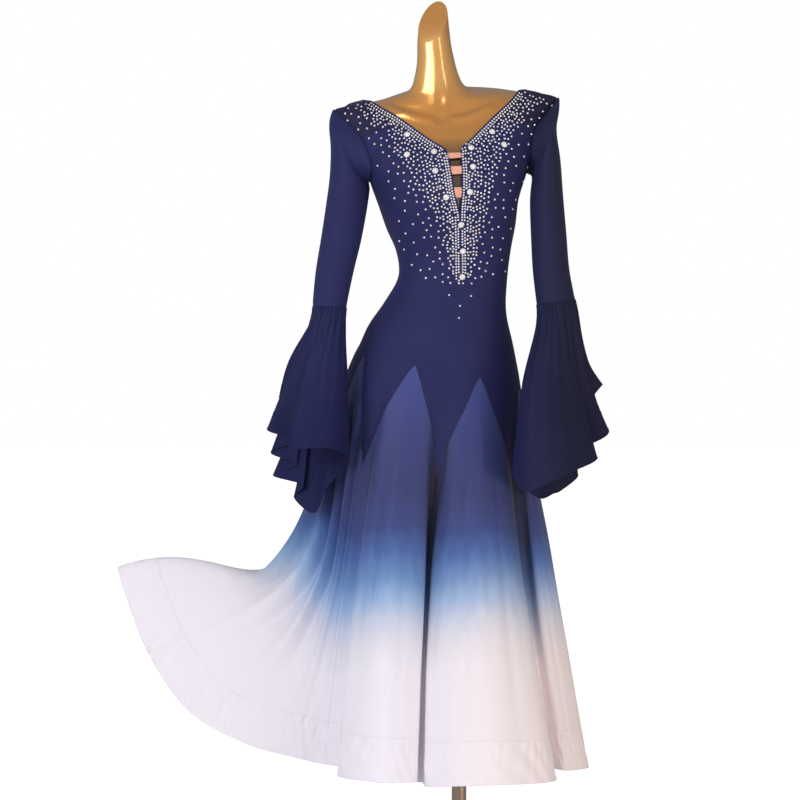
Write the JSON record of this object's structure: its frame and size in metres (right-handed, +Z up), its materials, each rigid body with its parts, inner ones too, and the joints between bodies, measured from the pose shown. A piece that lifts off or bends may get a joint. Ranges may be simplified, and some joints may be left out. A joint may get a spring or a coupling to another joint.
{
  "type": "ballroom dance dress on a dress form",
  "caption": "Ballroom dance dress with long sleeves, bell flounces and a wide godet skirt that flies out on one side, on a limbless dress form with pole and round base.",
  "frame": {"origin": "centre of the round base plate's underside, on the pole's axis", "axes": "+Z up along the pole, the front of the dress towards -Y, the wearer's left arm towards +X"},
  "size_m": [0.9226, 0.5801, 1.613],
  "materials": {
    "navy_jersey": "soft matt stretch jersey",
    "power_mesh": "sheer dark stretch mesh",
    "navy_chiffon": "thin matt chiffon",
    "shaded_chiffon": "chiffon shaded from violet blue through sky blue to white",
    "hem_chiffon": "double layer of white chiffon",
    "peach_satin": "satin",
    "stone": "pearly cut stone",
    "gold_skin": "glossy metallic gold",
    "steel": "brushed"
  },
  "bodies": {
    "root": {"bodice_front": "navy_jersey", "bodice_back": "navy_jersey", "sleeve_right_arm": "navy_jersey", "sleeve_left_arm": "navy_jersey", "yoke_right": "power_mesh", "yoke_left": "power_mesh", "bell_right_arm": "navy_chiffon", "bell_left_arm": "navy_chiffon", "bell_hem_right_arm": "navy_chiffon", "bell_hem_left_arm": "navy_chiffon", "godet_1": "shaded_chiffon", "hem_band_1": "hem_chiffon", "godet_2": "shaded_chiffon", "hem_band_2": "hem_chiffon", "godet_3": "shaded_chiffon", "hem_band_3": "hem_chiffon", "godet_4": "shaded_chiffon", "hem_band_4": "hem_chiffon", "godet_5": "shaded_chiffon", "hem_band_5": "hem_chiffon", "godet_6": "shaded_chiffon", "hem_band_6": "hem_chiffon", "godet_7": "shaded_chiffon", "hem_band_7": "hem_chiffon", "godet_8": "shaded_chiffon", "hem_band_8": "hem_chiffon", "slit_strap_1": "peach_satin", "slit_strap_2": "peach_satin", "slit_strap_3": "peach_satin", "stone_1": "stone", "stone_2": "stone", "stone_3": "stone", "stone_4": "stone", "stone_5": "stone", "stone_6": "stone", "stone_7": "stone", "stone_8": "stone", "stone_9": "stone", "stone_10": "stone", "stone_11": "stone", "stone_12": "stone", "stone_13": "stone", "dress_form": "gold_skin", "stand_pole": "steel", "stand_base": "steel"}
  },
  "joints": []
}
